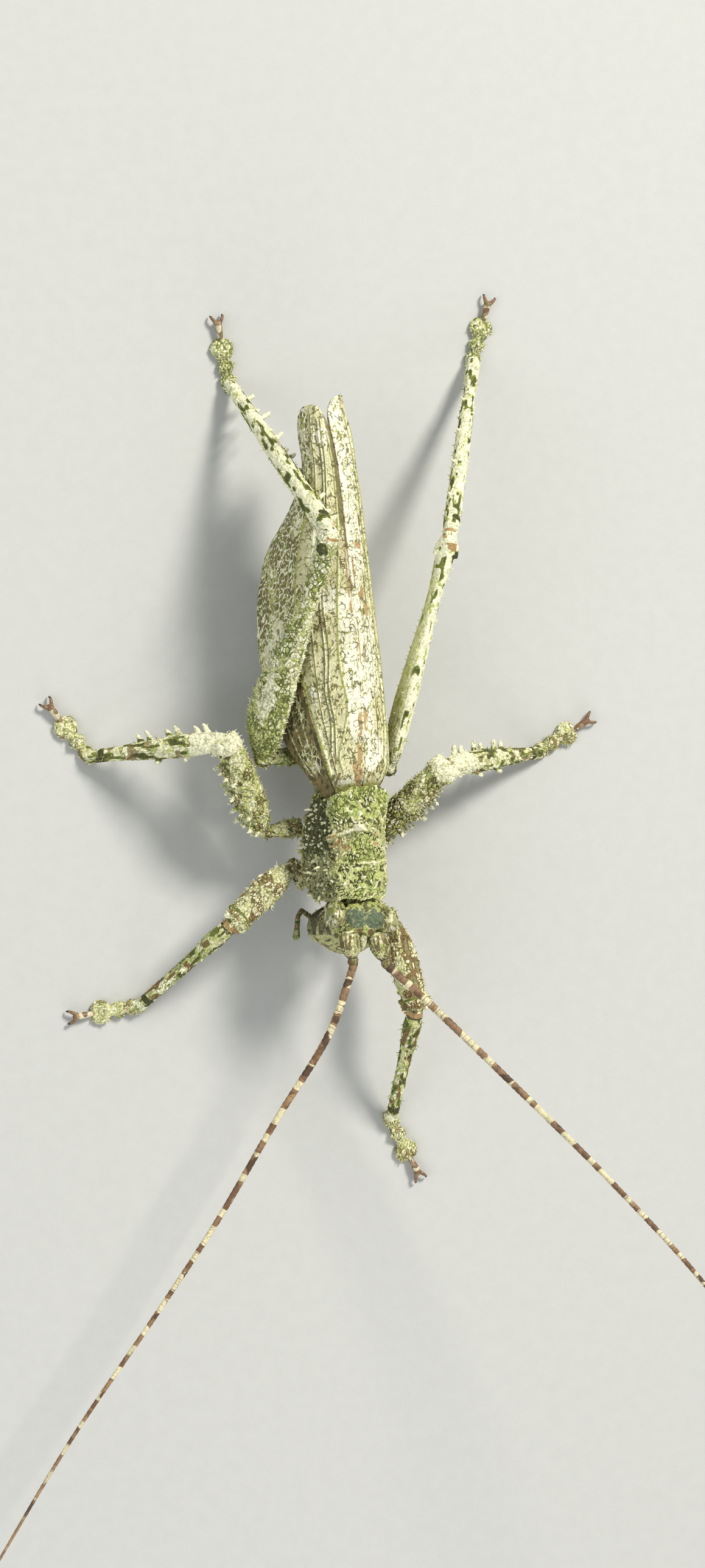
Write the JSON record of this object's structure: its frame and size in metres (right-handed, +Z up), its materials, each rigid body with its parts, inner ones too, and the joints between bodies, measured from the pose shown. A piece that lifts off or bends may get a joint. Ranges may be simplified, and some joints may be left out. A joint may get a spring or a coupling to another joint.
{
  "type": "long horned grasshopper",
  "caption": "Life-size lichen-mimicking katydid at rest: roofed forewings, warty saddle-shaped pronotum, spiny legs with lobed feet and very long thread-like antennae.",
  "frame": {"origin": "on the floor, at the middle of the whole animal's footprint, antennae included", "axes": "+Z up; the head looks along -Y and the folded wings run back along +Y; the animal's left is +X"},
  "size_m": [0.0616, 0.095, 0.0296],
  "materials": {
    "lichen_cuticle": "matt, warty cuticle mottled yellow-green, olive, cream and brown like lichen",
    "pale_wing": "satin, cream network of raised veins over olive and brown cells",
    "brown_antenna": "satin reddish brown with pale rings",
    "dark_eye": "glossy dark brown",
    "horn_claw": "smooth dark horn"
  },
  "bodies": {
    "root": {"abdomen_front": "lichen_cuticle", "abdomen_rear": "lichen_cuticle", "antenna_left_far": "brown_antenna", "antenna_left_near": "brown_antenna", "antenna_left_scape": "lichen_cuticle", "antenna_right_far": "brown_antenna", "antenna_right_near": "brown_antenna", "antenna_right_scape": "lichen_cuticle", "eye_left": "dark_eye", "eye_right": "dark_eye", "foreleg_left_claws": "horn_claw", "foreleg_left_coxa": "lichen_cuticle", "foreleg_left_femur": "lichen_cuticle", "foreleg_left_tarsus": "lichen_cuticle", "foreleg_left_tibia": "lichen_cuticle", "foreleg_right_claws": "horn_claw", "foreleg_right_coxa": "lichen_cuticle", "foreleg_right_femur": "lichen_cuticle", "foreleg_right_tarsus": "lichen_cuticle", "foreleg_right_tibia": "lichen_cuticle", "head": "lichen_cuticle", "hindleg_left_claws": "horn_claw", "hindleg_left_coxa": "lichen_cuticle", "hindleg_left_femur": "lichen_cuticle", "hindleg_left_tarsus": "lichen_cuticle", "hindleg_left_tibia": "lichen_cuticle", "hindleg_right_claws": "horn_claw", "hindleg_right_coxa": "lichen_cuticle", "hindleg_right_femur": "lichen_cuticle", "hindleg_right_tarsus": "lichen_cuticle", "hindleg_right_tibia": "lichen_cuticle", "jaws": "lichen_cuticle", "midleg_left_claws": "horn_claw", "midleg_left_coxa": "lichen_cuticle", "midleg_left_femur": "lichen_cuticle", "midleg_left_tarsus": "lichen_cuticle", "midleg_left_tibia": "lichen_cuticle", "midleg_right_claws": "horn_claw", "midleg_right_coxa": "lichen_cuticle", "midleg_right_femur": "lichen_cuticle", "midleg_right_tarsus": "lichen_cuticle", "midleg_right_tibia": "lichen_cuticle", "ovipositor": "horn_claw", "palp_left": "brown_antenna", "palp_right": "brown_antenna", "pronotum": "lichen_cuticle", "prothorax": "lichen_cuticle", "tegmen_left": "pale_wing", "tegmen_right": "pale_wing", "thorax": "lichen_cuticle"}
  },
  "joints": []
}
